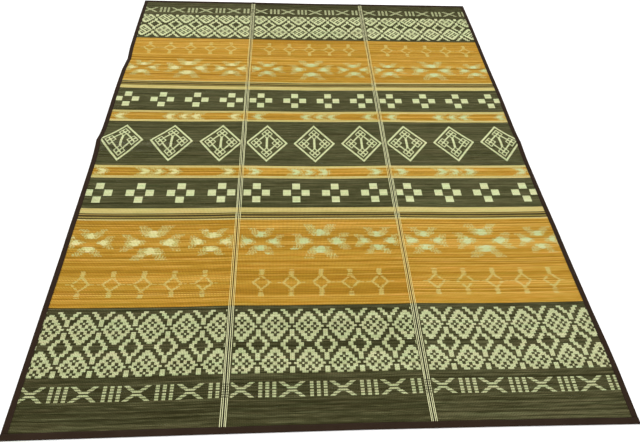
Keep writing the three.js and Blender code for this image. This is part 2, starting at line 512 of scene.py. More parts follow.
def arrows(place, far, rng):
    """Heads that point to +X in the near half of the rug and to -X in the far half."""
    direction = -1 if far else 1
    found = []
    for middle, size in ARROWS:
        away = abs(place - ARROW_MIDDLE) / size
        if far:
            middle = LANE_WIDTH - middle
        reaches = (ARROW_TIP - ARROW_SLANT * away, ARROW_TAIL - ARROW_SLANT * away)
        ends = sorted(middle + direction * size * reach for reach in reaches)
        halo = (ends[0] - ARROW_HALO, ends[1] + ARROW_HALO)
        found += speckled(rng, uneven(rng, halo, ARROW_FEATHER))
        if away < ARROW_HALF_HEIGHT:
            core = (ends[0] + ARROW_CORE_INSET, ends[1] - ARROW_CORE_INSET)
            found.append((uneven(rng, core, ARROW_FEATHER), "sage"))
    return found


# The bands of half the rug, from the near end to the middle. Each is woven from its start, in mm
# from the near end, to the next band's start, with rushes of about the pitch given.
BANDS = (
    {"start": 9.0, "ground": "olive", "pitch": 3.64, "motif": None},
    {"start": DASH_MIDDLE - DASH_REACH, "ground": "olive",
     "pitch": DASH_PITCH / DASH_PICKS, "motif": dashes},
    {"start": DASH_MIDDLE + DASH_REACH, "ground": "olive", "pitch": 3.64, "motif": None},
    {"start": LATTICE_ROW_A - ROW * 3, "ground": "olive", "pitch": ROW / 3, "motif": lattice},
    {"start": LATTICE_ROW_B + ROW * 6, "ground": "olive", "pitch": 3.64, "motif": None},
    {"start": 430, "ground": "orange", "pitch": 3.64, "motif": chain},
    {"start": 606, "ground": "orange", "pitch": 3.64, "motif": stars},
    {"start": 816.5, "ground": "cream", "pitch": 3.3, "motif": None},
    {"start": 823.2, "ground": "umber", "pitch": 3.3, "motif": None},
    {"start": 829, "ground": "tan", "pitch": 3.5, "motif": None},
    {"start": 835.8, "ground": "umber", "pitch": 4, "motif": None},
    {"start": 844, "ground": "tan", "pitch": 3.1, "motif": None},
    {"start": 849.2, "ground": "umber", "pitch": 2.7, "motif": None},
    {"start": 853.2, "ground": "cream", "pitch": 3.8, "motif": None},
    {"start": 878.8, "ground": "moss", "pitch": 3.6, "motif": checks},
    {"start": 1042.5, "ground": "cream", "pitch": 3.6, "motif": None},
    {"start": 1056.5, "ground": "orange", "pitch": 3.6, "motif": arrows},
    {"start": 1105.5, "ground": "cream", "pitch": 3.6, "motif": None},
    {"start": 1118, "ground": "moss", "pitch": 3.6, "motif": medals},
)
LAST_PICK = 2491
PATTERN_MARGINS = (15.5, 12.5)  # the design stops here, where the joins begin
LEAST_RUN = 1.0
LANE_PAINTED_SHEEN = ((-0.2, 0.2), (-0.1, 0.0), (0.35, 0.05))  # how light each lane is, near and far: painted sheen, as the light falls unevenly across the lanes
LANE_DYES = {(0, "sage"): "ivory"}  # a dye that differs in one lane
FAR_DYES = {(lattice, "pale"): "light"}  # a dye that is lighter in the far half

# How the weave has crept, in mm: along the rug at the middle of each lane, and across it at the
# two bounds of each lane
ALONG_CREEP = {
    "places": (131, 290, 435, 850, 1050, 1200, 1280, 1400, 1500, 1600, 1700, 1821, 2009, 2100, 2300, 2420),
    "lanes": (
        (0, 1, 1.3, -1, 4, 0.5, 7, -4, -1, 0, 4, 11, 7, 3, 2, 3),
        (1, 1, 3.3, 2.5, -1.5, -4.5, -7, -1, -6, -4.5, -4, 4.5, 1, 0, 2, 3),
        (0, -1.5, 1, 0, 1.5, 3.5, 2, -1.5, 1.5, 4, 5, 9, 5, 0, 3, 5),
    ),
}
LANE_BOW = 3  # how far the ends of a row lie beyond its middle, in each lane
ACROSS_CREEP = {
    "places": (0, 435, 850, 1264, 1680, 2100, 2500),
    "low": (
        (0.5, -2.3, -0.5, 0, 3, -1, -0.5),
        (0.5, -2, 1.5, 0.5, 2, -0.5, -3),
        (-1, -1, -4, -3.5, 0.5, 3, -0.5),
    ),
    "high": (
        (1.5, -2.5, 7, 5, 8.5, -2, -3),
        (0.5, -3, 0.5, -1, 5, 0.5, -2),
        (2.5, 1, 10.5, 12, 11, 5, 1),
    ),
}


def creep_along(x, place):
    """How far the weave has crept towards +Y at a point of the flat rug."""
    left, middle, right = (np.interp(place, ALONG_CREEP["places"], lane) for lane in ALONG_CREEP["lanes"])
    side = np.where(x < 0, left, right)
    from_middle = (x + HALF_WIDTH) % LANE_WIDTH / LANE_WIDTH * 2 - 1
    bow = LANE_BOW * (from_middle ** 2 - 0.4)
    return middle + (side - middle) * np.clip(np.abs(x) / LANE_WIDTH, 0, 1) + bow


def creep_across(lane, place):
    """How far the design has crept towards +X at the low and high bounds of a lane."""
    return tuple(float(np.interp(place, ACROSS_CREEP["places"], ACROSS_CREEP[bound][lane]))
                 for bound in ("low", "high"))


def picks_of_rug():
    """Every row of rush from the near end to the far one: its place, width, band and chart place."""
    near_half = []
    ends = [band["start"] for band in BANDS[1:]] + [MIRROR_LINE]
    for band, end in zip(BANDS, ends):
        count = max(1, round((end - band["start"]) / band["pitch"]))
        pitch = (end - band["start"]) / count
        for i in range(count):
            near_half.append({"at": band["start"] + (i + 0.5) * pitch, "pitch": pitch, "band": band})
    picks = [dict(pick, chart=pick["at"], far=False) for pick in near_half]
    for pick in reversed(near_half):
        at = 2 * MIRROR_LINE - pick["at"]
        if at < LAST_PICK:
            picks.append(dict(pick, at=at, chart=pick["at"], far=True))
    return picks


def painted_spans(pick, lane, rng):
    """The motif's spans in a row of rush, moved as the weave has crept, with their dyes."""
    band = pick["band"]
    low, high = creep_across(lane, pick["at"])
    spans = []
    for span, dye in band["motif"](pick["chart"], pick["far"], rng):
        dye = LANE_DYES.get((lane, dye), dye)
        if pick["far"]:
            dye = FAR_DYES.get((band["motif"], dye), dye)
        spans.append((tuple(place + low + (high - low) * place / LANE_WIDTH for place in span), dye))
    return spans


def runs_of_pick(pick, lane, rng):
    """The dyed runs of a row of rush across a lane, as (end, dye) pairs in order."""
    ground = pick["band"]["ground"]
    if pick["band"]["motif"] is None:
        return [(LANE_WIDTH, ground)]
    painted = painted_spans(pick, lane, rng)
    first, last = PATTERN_MARGINS[0], LANE_WIDTH - PATTERN_MARGINS[1]
    inner = (min(max(place, first), last) for span, _ in painted for place in span)
    edges = sorted({0.0, LANE_WIDTH, *inner})
    runs = []
    for start, end in zip(edges, edges[1:]):
        if end - start < LEAST_RUN and runs and end < LANE_WIDTH:
            runs[-1] = (end, runs[-1][1])
            continue
        middle = (start + end) / 2
        dye = ground
        if first < middle < last:
            over = [colour for span, colour in painted if span[0] <= middle <= span[1]]
            dye = over[-1] if over else ground
        if runs and runs[-1][1] == dye:
            runs[-1] = (end, dye)
        else:
            runs.append((end, dye))
    return runs


# A rush row's section: place across the row and height, as shares of half the pitch and of the
# cloth's thickness, from the near side over the top to the far side
SECTION = ((-1.05, 0.6), (0, 1.0), (1.05, 0.6), (0, 0.05))
TOP_FACES = 2
PINCH = 0.88  # height of a row where one run dives and the next comes up
PILLOW = 2.6  # how soon a long run is at its full height again
LONG_RUN = 34  # shorter runs are nipped at their ends alone
PLAIN_STEP = 84  # usual distance between the stations of a plain stretch
STEP_SLACK = 1.3  # a stretch up to this many steps long stays whole
STEP_SWAY = 0.3
HEIGHT_SWAY = 0.03
TONE_SPREAD = 0.5
TONE_LIMIT = 1.5
DARK_ROW_CHANCE = 0.15  # some rows of the orange bands are darker by this
DARK_ROW = (0.5, 1.1)


class RugSizes(bpy.types.PropertyGroup):
    tape_height: bpy.props.FloatProperty(
        name="Tape height", description="Height of the folded tape over the floor",
        default=4.4 * MM, unit="LENGTH", precision=4)
    tape_thickness: bpy.props.FloatProperty(
        name="Tape thickness", description="Thickness of one leaf of the tape",
        default=0.8 * MM, unit="LENGTH", precision=4)
    stitch_pitch: bpy.props.FloatProperty(
        name="Stitch pitch", description="Distance from one stitch of the tape to the next",
        default=5.2 * MM, unit="LENGTH", precision=4)
    cord_width: bpy.props.FloatProperty(
        name="Cord width", description="Width of a warp cord in a join",
        default=2.1 * MM, unit="LENGTH", precision=4)
    cord_gap: bpy.props.FloatProperty(
        name="Cord gap", description="Distance between the two cords of a pair",
        default=5.2 * MM, unit="LENGTH", precision=4)
    pair_gap: bpy.props.FloatProperty(
        name="Pair gap", description="Distance between the two pairs of cords of a join",
        default=12.4 * MM, unit="LENGTH", precision=4)
    warp_spacing: bpy.props.FloatProperty(
        name="Warp spacing", description="Distance between the thin warp threads of a lane",
        default=5.2 * MM, unit="LENGTH", precision=4)
    row_unevenness: bpy.props.FloatProperty(
        name="Row unevenness", description="How far a row of rush strays from straight",
        default=0.25 * MM, unit="LENGTH", precision=4)


class RugColours(bpy.types.PropertyGroup):
    tape: bpy.props.FloatVectorProperty(
        name="Tape", description="Colour of the cloth tape", subtype="COLOR",
        default=display(37, 26, 17), min=0, max=1)
    cord: bpy.props.FloatVectorProperty(
        name="Cord", description="Colour of the warp cords over dark bands", subtype="COLOR",
        default=display(222, 222, 172), min=0, max=1)
    warm_cord: bpy.props.FloatVectorProperty(
        name="Warm cord", description="Colour of the warp cords over orange bands", subtype="COLOR",
        default=display(226, 206, 130), min=0, max=1)
    thread: bpy.props.FloatVectorProperty(
        name="Thread", description="Colour of the sewing thread", subtype="COLOR",
        default=display(52, 40, 34), min=0, max=1)
    floor: bpy.props.FloatVectorProperty(
        name="Floor", description="Colour of the plain floor", subtype="COLOR",
        default=(0.86, 0.86, 0.86), min=0, max=1)


class RugStage(bpy.types.PropertyGroup):
    camera_place: bpy.props.FloatVectorProperty(
        name="Camera place", description="Where the camera stands", subtype="TRANSLATION",
        default=(-0.1243, -1.7373, 1.5792))
    camera_turn: bpy.props.FloatProperty(
        name="Camera turn", description="Turn of the view towards +X from straight along +Y",
        default=math.radians(4.915), subtype="ANGLE")
    camera_dip: bpy.props.FloatProperty(
        name="Camera dip", description="How far the view looks below the horizon",
        default=math.radians(50.54), subtype="ANGLE")
    camera_roll: bpy.props.FloatProperty(
        name="Camera roll", description="Tilt of the camera about its line of sight",
        default=math.radians(3.52), subtype="ANGLE")
    lens: bpy.props.FloatProperty(
        name="Lens", description="Focal length on a sensor 36 mm wide, in millimetres",
        default=29.19, min=1)
    shift: bpy.props.FloatVectorProperty(
        name="Shift", description="Sideways and upward shift of the view, as shares of its width",
        size=2, default=(0.0073, 0.0008))
    lamp_power: bpy.props.FloatProperty(
        name="Lamp power", description="Power of the large soft lamp", default=66, unit="POWER")
    sky_strength: bpy.props.FloatProperty(
        name="Sky strength", description="Strength of the even light from all sides", default=1.3)


# Making meshes
def add_piece(name, points, faces, materials, face_materials=None, smooth=True):
    """A new mesh object of points in metres, with a material for each face where they differ."""
    mesh = bpy.data.meshes.new(name)
    mesh.from_pydata(points, [], faces)
    for material in materials:
        mesh.materials.append(material)
    if face_materials is not None:
        mesh.polygons.foreach_set("material_index", np.asarray(face_materials, np.int32))
    mesh.polygons.foreach_set("use_smooth", np.full(len(mesh.polygons), smooth))
    mesh.update()
    piece = bpy.data.objects.new(name, mesh)
    bpy.context.scene.collection.objects.link(piece)
    return piece


def point_values(mesh, name, values):
    """A value at each point that the materials can read."""
    layer = mesh.attributes.new(name, "FLOAT", "POINT")
    layer.data.foreach_set("value", np.asarray(values, np.float32))


def strand_faces(first, stations, around):
    """The sides and then the two ends of one strand of rings whose points start at first. They face
    out where the rings turn left as seen from the strand's start."""
    faces = []
    for i in range(stations - 1):
        here = first + i * around
        there = here + around
        for k in range(around):
            after = (k + 1) % around
            faces.append((there + k, there + after, here + after, here + k))
    last = first + (stations - 1) * around
    faces.append(tuple(range(first, first + around)))
    faces.append(tuple(range(last + around - 1, last - 1, -1)))
    return faces


# Making materials
class Nodes:
    """A short way to add and link the nodes of one material."""

    def __init__(self, name):
        self.material = bpy.data.materials.new(name)
        self.material.use_nodes = True
        self.tree = self.material.node_tree
        self.shader = next(n for n in self.tree.nodes if n.type == "BSDF_PRINCIPLED")

    def add(self, kind, inputs=(), **settings):
        node = self.tree.nodes.new(kind)
        for key, value in settings.items():
            setattr(node, key, value)
        for key, value in dict(inputs).items():
            if isinstance(value, bpy.types.NodeSocket):
                self.tree.links.new(value, node.inputs[key])
            else:
                node.inputs[key].default_value = value
        return node

    def math(self, operation, first, second=0.0, third=0.0, clamp=False):
        node = self.add("ShaderNodeMath", {0: first, 1: second, 2: third}, operation=operation)
        node.use_clamp = clamp
        return node.outputs[0]

    def value(self, name):
        return self.add("ShaderNodeAttribute", attribute_name=name).outputs["Fac"]

    def noise(self, vector, scale, detail=2.0, roughness=0.5):
        node = self.add("ShaderNodeTexNoise", {
            "Vector": vector, "Scale": scale, "Detail": detail, "Roughness": roughness})
        return node.outputs["Fac"]

    def grain(self, x, y, scales, detail, roughness=0.5):
        """Noise drawn out along the rushes, with one scale across the rug and one along it."""
        spot = self.vector(self.math("MULTIPLY", x, scales[0]), self.math("MULTIPLY", y, scales[1]))
        return self.noise(spot, 1.0, detail, roughness)

    def swing(self, factor, base, reach):
        """A value that a noise moves up and down about its base."""
        return self.math("MULTIPLY_ADD", self.math("SUBTRACT", factor, 0.5), reach, base)

    def shaded(self, colour, level):
        """A colour made lighter or darker by a level, where 1 leaves it as it is."""
        grey = self.add("ShaderNodeCombineColor", {0: level, 1: level, 2: level}).outputs[0]
        return self.mix(1.0, colour, grey, "MULTIPLY")

    def fade(self, value, start, end, at_start, at_end):
        """A smooth change from one value to another."""
        return self.add("ShaderNodeMapRange", {
            "Value": value, "From Min": start, "From Max": end, "To Min": at_start, "To Max": at_end},
            interpolation_type="SMOOTHSTEP").outputs["Result"]

    def vector(self, x, y, z=0.0):
        return self.add("ShaderNodeCombineXYZ", {0: x, 1: y, 2: z}).outputs[0]

    def ramp(self, factor, colours):
        node = self.add("ShaderNodeValToRGB", {"Fac": factor})
        elements = node.color_ramp.elements
        while len(elements) < len(colours):
            elements.new(0.5)
        for i, colour in enumerate(colours):
            elements[i].position = i / (len(colours) - 1)
            elements[i].color = (*colour, 1)
        return node.outputs["Color"]

    def mix(self, factor, first, second, blend="MIX"):
        node = self.add("ShaderNodeMix", data_type="RGBA", blend_type=blend)
        for key, value in ((0, factor), (6, first), (7, second)):
            if isinstance(value, bpy.types.NodeSocket):
                self.tree.links.new(value, node.inputs[key])
            else:
                node.inputs[key].default_value = value if key == 0 else (*value, 1)
        return node.outputs[2]

    def bump(self, height, distance, strength=1.0):
        node = self.add("ShaderNodeBump", {
            "Height": height, "Distance": distance, "Strength": strength})
        return node.outputs["Normal"]

    def finish(self, colour, roughness, normal, **fixed):
        self.tree.links.new(colour, self.shader.inputs["Base Color"])
        if isinstance(roughness, bpy.types.NodeSocket):
            self.tree.links.new(roughness, self.shader.inputs["Roughness"])
        else:
            self.shader.inputs["Roughness"].default_value = roughness
        self.tree.links.new(normal, self.shader.inputs["Normal"])
        for key, value in fixed.items():
            self.shader.inputs[key.replace("_", " ")].default_value = value
        return self.material


# How much each dye varies: from row to row, and along a row
DYE_VARIETY = {"olive": (0.3, 1.1), "moss": (0.3, 1.0), "light": (0.25, 0.4), "orange": (0.4, 0.6)}
USUAL_VARIETY = (0.25, 0.5)
# The noises in dyed rush. Scales are across the rug per metre, and along it per row for the streaks
# and the drift, or per metre for the splits and the fibres.
STREAK = {"scales": (8, 3.71), "detail": 3.0, "roughness": 0.62}
SPLIT = {"scales": (12, 620), "detail": 2.0, "roughness": 0.6}
FIBRE = {"scales": (55, 1900), "detail": 2.0, "roughness": 0.7}
DRIFT = {"scales": (5, 0.43), "detail": 2.0}
STREAK_REACH = 1.7  # as shares of a dye's variety along a row
SPLIT_REACH = 1.3
FIBRE_REACH = 0.35
DRIFT_TINTS = ((0.86, 1.06, 0.95), (1.14, 0.96, 0.98))
THREAD_EDGES = (0.3, 1.3)  # a warp thread's dent is deepest up to the first, and ends at the second
THREAD_PAINTED_SHADE = (0.18, 0.4)  # painted shade in each warp thread's dent: how much it darkens the rush, and every other one more
# Painted shade about the middle of a join: in the groove between its two pairs of cords, and a lighter
# one over the rest of the join. Each is deepest up to the first distance, and gone at the second
JOIN_PAINTED_SHADES = (
    {"from": 1.6, "to": 3.2, "painted_shade": 0.45},
    {"from": 9.5, "to": 11.5, "painted_shade": 0.62},
)


def rush_material(dye, warp_spacing):
    """Dyed rush: streaks along each row, fine fibres, and dents where the warp threads cross, with
    painted shade in the dents and in the grooves of the joins, and the lanes' painted sheen in the rows'
    tone."""
    nodes = Nodes("rush_" + dye)
    by_row, along = DYE_VARIETY.get(dye, USUAL_VARIETY)
    place = nodes.add("ShaderNodeTexCoord").outputs["Object"]
    x, y, _ = nodes.add("ShaderNodeSeparateXYZ", {0: place}).outputs
    row = nodes.value("row")
    streak = nodes.grain(x, row, **STREAK)
    split = nodes.grain(x, y, **SPLIT)
    fibre = nodes.grain(x, y, **FIBRE)
    level = nodes.swing(streak, 0.5, along * STREAK_REACH)
    level = nodes.swing(split, level, along * SPLIT_REACH)
    # Each row's tone holds its own random tone and its lane's painted sheen
    level = nodes.math("MULTIPLY_ADD", nodes.value("tone"), by_row, level)
    level = nodes.swing(fibre, level, FIBRE_REACH)
    colour = nodes.ramp(nodes.math("ADD", level, 0.0, clamp=True), DYES[dye])
    drift = nodes.grain(x, row, **DRIFT)
    colour = nodes.mix(1.0, colour, nodes.ramp(drift, DRIFT_TINTS), "MULTIPLY")
    # The warp dents for the bump, and the painted shade in them
    dent, painted_shade = warp_marks(nodes, x, row, warp_spacing)
    from_join = nodes.math("ABSOLUTE", nodes.math("SUBTRACT", nodes.math("ABSOLUTE", x), JOIN_X * MM))
    # Painted shade in the grooves of the joins, over the painted shade of the warp dents
    for groove in JOIN_PAINTED_SHADES:
        edge = nodes.fade(from_join, groove["from"] * MM, groove["to"] * MM, groove["painted_shade"], 1.0)
        painted_shade = nodes.math("MULTIPLY", painted_shade, edge)
    relief = nodes.math("SUBTRACT", nodes.math("MULTIPLY", fibre, 0.35), dent)
    rough = nodes.math("MULTIPLY_ADD", fibre, 0.2, 0.5)
    return nodes.finish(nodes.shaded(colour, painted_shade), rough, nodes.bump(relief, 0.35 * MM, 0.8),
                        Specular_IOR_Level=0.1)


def warp_marks(nodes, x, row, spacing):
    """The dents of the warp threads in the rush, and the painted shade in them. The painted shade of a
    thread's dent shows on every row, and stands out on every second one, where its neighbours lie deeper."""
    thread = nodes.math("DIVIDE", x, spacing)
    from_middle = nodes.math("SUBTRACT", nodes.math("FRACT", thread), 0.5)
    from_thread = nodes.math("MULTIPLY", nodes.math("ABSOLUTE", from_middle), spacing)
    dent = nodes.fade(from_thread, THREAD_EDGES[0] * MM, THREAD_EDGES[1] * MM, 1.0, 0.0)
    order = nodes.math("ADD", nodes.math("FLOOR", thread), row)
    turn = nodes.math("FRACT", nodes.math("MULTIPLY", order, 0.5))
    depth = nodes.math("MULTIPLY_ADD", turn, 2 * THREAD_PAINTED_SHADE[1], THREAD_PAINTED_SHADE[0])
    return dent, nodes.math("SUBTRACT", 1.0, nodes.math("MULTIPLY", dent, depth))


PLY_PITCH = (5, 6)  # of the cords' twist, along and across, in mm
CORD_GRAIN = {"scales": (1500, 160), "detail": 2.0}


def cord_material(cord, warm_cord):
    """Undyed warp cord of two plies, warmer where orange rushes show through it, with painted shade in the
    grooves between its plies.
    """
    nodes = Nodes("warp_cord")
    place = nodes.add("ShaderNodeTexCoord").outputs["Object"]
    x, y, _ = nodes.add("ShaderNodeSeparateXYZ", {0: place}).outputs
    slanted = nodes.math("ADD", nodes.math("MULTIPLY", y, 2 * math.pi / (PLY_PITCH[0] * MM)),
                         nodes.math("MULTIPLY", x, 2 * math.pi / (PLY_PITCH[1] * MM)))
    ply = nodes.math("MULTIPLY_ADD", nodes.math("SINE", slanted), 0.5, 0.5)
    fibre = nodes.grain(x, y, **CORD_GRAIN)
    colour = nodes.mix(nodes.value("warmth"), cord, warm_cord)
    # The twist paints the plies' crests lighter and the grooves between them darker: painted shade, over the
    # bump of the same twist
    level = nodes.math("MULTIPLY_ADD", ply, 0.22, nodes.math("MULTIPLY_ADD", fibre, 0.4, 0.62))
    relief = nodes.math("MULTIPLY_ADD", ply, 0.7, nodes.math("MULTIPLY", fibre, 0.3))
    return nodes.finish(nodes.shaded(colour, level), 0.78, nodes.bump(relief, 0.4 * MM, 0.9),
                        Specular_IOR_Level=0.15)


TWILL_PITCH = 1.3  # in mm
YARN_PITCH = 0.9


def tape_material(colour):
    """Matt cotton tape in a fine twill, a little worn and dusty, with painted shade between the twill's
    ribs.
    """
    nodes = Nodes("binding_tape")
    place = nodes.add("ShaderNodeTexCoord").outputs["Object"]
    x, y, _ = nodes.add("ShaderNodeSeparateXYZ", {0: place}).outputs
    slant = nodes.math("MULTIPLY", nodes.math("ADD", x, y), 2 * math.pi / (TWILL_PITCH * MM))
    counter = nodes.math("MULTIPLY", nodes.math("SUBTRACT", x, y), 2 * math.pi / (YARN_PITCH * MM))
    rib = nodes.math("SINE", slant)
    yarn = nodes.math("SINE", counter)
    weave = nodes.math("MULTIPLY_ADD", rib, 0.35, nodes.math("MULTIPLY_ADD", yarn, 0.15, 0.5))
    lint = nodes.noise(place, 900.0, 3.0, 0.7)
    wear = nodes.noise(place, 14.0, 3.0, 0.6)
    # The weave paints the twill's ribs lighter and the hollows between them darker: painted shade, over the
    # bump of the same weave. The wear and the lint are the tape's own
    level = nodes.math("MULTIPLY_ADD", weave, 0.35, nodes.math("MULTIPLY_ADD", wear, 0.5, 0.05))
    level = nodes.math("MULTIPLY_ADD", lint, 0.3, level, clamp=True)
    dark = tuple(0.55 * part for part in colour)
    light = tuple(1.5 * part + 0.003 for part in colour)
    tone = nodes.ramp(level, (dark, tuple(colour), light))
    relief = nodes.math("MULTIPLY_ADD", lint, 0.3, weave)
    return nodes.finish(tone, 0.88, nodes.bump(relief, 0.25 * MM, 0.7), Specular_IOR_Level=0.06)


def thread_material(colour):
    """Soft sewing thread, close to the tape in colour."""
    nodes = Nodes("sewing_thread")
    place = nodes.add("ShaderNodeTexCoord").outputs["Object"]
    lint = nodes.noise(place, 2400.0, 2.0)
    tone = nodes.ramp(lint, (tuple(0.6 * part for part in colour), tuple(1.3 * part for part in colour)))
    return nodes.finish(tone, 0.7, nodes.bump(lint, 0.1 * MM, 0.6), Specular_IOR_Level=0.2)


def floor_material(colour):
    """A plain pale floor with the faintest grain."""
    nodes = Nodes("plain_floor")
    place = nodes.add("ShaderNodeTexCoord").outputs["Object"]
    grain = nodes.noise(place, 60.0, 2.0)
    tone = nodes.ramp(grain, (tuple(0.985 * part for part in colour), tuple(colour)))
    return nodes.finish(tone, 0.85, nodes.bump(grain, 0.02 * MM, 0.2))


# Weaving
RUSH_INSET = 4  # how far inside the edge the rushes end, in mm
LANE_NAMES = ("rush_lane_left", "rush_lane_middle", "rush_lane_right")


def lane_range(lane):
    """The two bounds across the rug of lane 0, 1 or 2, in mm."""
    low = -HALF_WIDTH + lane * LANE_WIDTH
    return low, low + LANE_WIDTH


def fixed_stations(lane):
    """Places across a lane where its shape turns: at the tape and at the joins."""
    low, high = lane_range(lane)
    at_edge = (RUSH_INSET, HALF_WIDTH - FLAT_HALF_WIDTH, HALF_WIDTH - FLAT_HALF_WIDTH + SEAT_RAMP)
    at_join = (0, JOIN_HALF_TOP, JOIN_HALF_WIDTH)
    from_low = at_edge if lane == 0 else at_join
    from_high = at_edge if lane == 2 else at_join
    return [low + step for step in from_low], [high - step for step in reversed(from_high)]


def pick_stations(lane, runs, rng):
    """Places of the stations of one row of a lane, and the row's height at each, as a share."""
    low, _ = lane_range(lane)
    first, last = fixed_stations(lane)
    marks = {place: 1.0 for place in first + last}
    start = 0.0
    for end, _ in runs:
        if start > 0:
            marks[low + start] = PINCH
        if end - start > LONG_RUN:
            if start > 0:
                marks[low + start + PILLOW] = 1.0
            if end < LANE_WIDTH:
                marks[low + end - PILLOW] = 1.0
        start = end
    places = sorted(place for place in marks if first[0] <= place <= last[-1])
    filled = [places[0]]
    for place in places[1:]:
        gap = place - filled[-1]
        if gap > PLAIN_STEP * STEP_SLACK:
            count = math.ceil(gap / PLAIN_STEP)
            before = filled[-1]
            for i in range(1, count):
                extra = before + gap * (i + rng.uniform(-STEP_SWAY, STEP_SWAY)) / count
                marks[extra] = 1.0
                filled.append(extra)
        filled.append(place)
    return filled, [marks[place] for place in filled]


def tone_and_sheen_of_row(pick, lane, rng):
    """How light (+) or dark (-) a row is next to its band: its own random tone, with its lane's painted
    sheen from near to far added. Orange rows differ most.
    """
    # The lane's painted sheen, from its near end to its far one
    near, far = LANE_PAINTED_SHEEN[lane]
    tone = rng.gauss(0, TONE_SPREAD) + near + (far - near) * pick["at"] / LAST_PICK
    if pick["band"]["ground"] == "orange" and rng.random() < DARK_ROW_CHANCE:
        tone -= rng.uniform(*DARK_ROW)
    return max(-TONE_LIMIT, min(TONE_LIMIT, tone))


def weave_row(lane, index, pick, unevenness, rng):
    """One row of rush across a lane: its stations, and the dye of each stretch and each end."""
    low, _ = lane_range(lane)
    runs = runs_of_pick(pick, lane, rng)
    places, shares = pick_stations(lane, runs, rng)
    tone = tone_and_sheen_of_row(pick, lane, rng)
    sway = rng.uniform(0, 2 * math.pi)
    stations = []
    for place, share in zip(places, shares):
        wobble = math.sin(place / 61 + index * 0.05 + lane) + 0.5 * math.sin(place / 23 + sway)
        along = pick["at"] - HALF_LENGTH + wobble * unevenness
        height = share * (1 + rng.uniform(-HEIGHT_SWAY, HEIGHT_SWAY))
        stations.append((place, along, pick["pitch"] / 2, height))
    run_ends = [low + end for end, _ in runs]
    dyes = []
    for start, end in zip(places, places[1:]):
        run = min(bisect.bisect_left(run_ends, (start + end) / 2), len(runs) - 1)
        dyes.append(DYE_NAMES.index(runs[run][1]))
    return {"stations": stations, "tone": tone, "dyes": dyes}


def rush_points(stations):
    """The rings of points round the stations' rush, lying on the folds of the rug, in mm."""
    x, y, half, share = np.array(stations).T
    y = y + creep_along(x, y + HALF_LENGTH)
    place_x, place_y = outline_place(x, y)
    under = fold_lift(x, y) + seat_lift(x, y) + join_rise(x) * RUSH_SHARE
    points = np.zeros((len(x), len(SECTION), 3))
    for k, (side, height) in enumerate(SECTION):
        points[:, k, 0] = place_x
        points[:, k, 1] = place_y + side * half
        points[:, k, 2] = under + height * np.where(height > 0.5, share, 1.0) * CLOTH_THICKNESS
    return points.reshape(-1, 3)


def weave_lane(lane, picks, materials, sizes):
    """The mesh of one lane: every row of rush as a closed strand of its own."""
    rng = random.Random(900 + lane)
    around = len(SECTION)
    stations, faces, dyes, tops, rows, tones = [], [], [], [], [], []
    for index, pick in enumerate(picks):
        row = weave_row(lane, index, pick, sizes.row_unevenness / MM, rng)
        count = len(row["stations"])
        faces += strand_faces(len(stations) * around, count, around)
        dyes += [dye for dye in row["dyes"] for _ in range(around)] + [row["dyes"][0], row["dyes"][-1]]
        tops += [k < TOP_FACES for k in range(around)] * (count - 1) + [False, False]
        rows += [float(index)] * count * around
        tones += [row["tone"]] * count * around
        stations += row["stations"]
    points = rush_points(stations) * MM
    piece = add_piece(LANE_NAMES[lane], points.tolist(), faces, materials, dyes)
    point_values(piece.data, "row", rows)
    # The tone holds each row's own random tone and its lane's painted sheen
    point_values(piece.data, "tone", tones)
    lay_out_map(piece.data, np.array(tops), lane_range(lane))
    return piece


# The flat map of a lane: heights of its two strips, and places of its two columns
TOP_MAP = (0.004, 0.856)
UNDER_MAP = (0.872, 0.996)
MAP_MARGIN = 0.004
MAP_COLUMN = 0.488
MAP_STEP = 0.504


def lay_out_map(mesh, tops, bounds):
    """A flat map of a lane in two columns, for its near and far halves. The rows' upper sides
    take most of its height, and their undersides a strip above them."""
    corners = np.empty(len(mesh.loops), np.int64)
    mesh.loops.foreach_get("vertex_index", corners)
    points = np.empty(len(mesh.vertices) * 3)
    mesh.vertices.foreach_get("co", points)
    x, y, _ = points.reshape(-1, 3)[corners].T
    sizes = np.empty(len(mesh.polygons), np.int64)
    mesh.polygons.foreach_get("loop_total", sizes)
    face = np.repeat(np.arange(len(sizes)), sizes)
    middles = np.bincount(face, y) / sizes
    is_far = (middles > 0)[face]
    is_top = tops[face]
    reach = HALF_LENGTH * MM
    along = np.clip(np.abs(y) / reach, 0, 1)
    across = np.clip((x - bounds[0] * MM) / ((bounds[1] - bounds[0]) * MM), 0, 1)
    low = np.where(is_top, TOP_MAP[0], UNDER_MAP[0])
    high = np.where(is_top, TOP_MAP[1], UNDER_MAP[1])
    spots = np.empty((len(x), 2), np.float32)
    spots[:, 0] = MAP_MARGIN + MAP_COLUMN * across + MAP_STEP * is_far
    spots[:, 1] = low + (high - low) * along
    layer = mesh.uv_layers.new(name="OFBake")
    layer.uv.foreach_set("vector", spots.ravel())


def finish_piece(piece, slot, *nodes):
    """Put a piece on the rug's body, in place of the nodes it stands for. The slot is not used."""
    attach(piece, ROOT)
    if nodes:
        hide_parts(*nodes)


class RUG_OT_weave_lanes(bpy.types.Operator):
    """Weave the three lanes of dyed rush, row by row"""
    bl_idname = "rug.weave_lanes"
    bl_label = "Weave Lanes"

    def execute(self, context):
        sizes = context.scene.rug_sizes
        materials = [rush_material(dye, sizes.warp_spacing) for dye in DYE_NAMES]
        picks = picks_of_rug()
        for lane in range(len(LANE_NAMES)):
            piece = weave_lane(lane, picks, materials, sizes)
            finish_piece(piece, "rush", "rush_cloth")
        return {"FINISHED"}


# Warp cords of the joins
CORD_SIDES = 6
CORD_COUNT = 4
CORD_HALF_HEIGHT = 0.75
CORD_LIFT = 0.35  # how far a cord's middle lies over the rush
DEEP_DIP = 1.5
LATTICE_DIP = 0.77
SHALLOW_DIP = 0.35
WARM_GROUNDS = {"orange": 1.0, "cream": 0.75, "tan": 0.5}


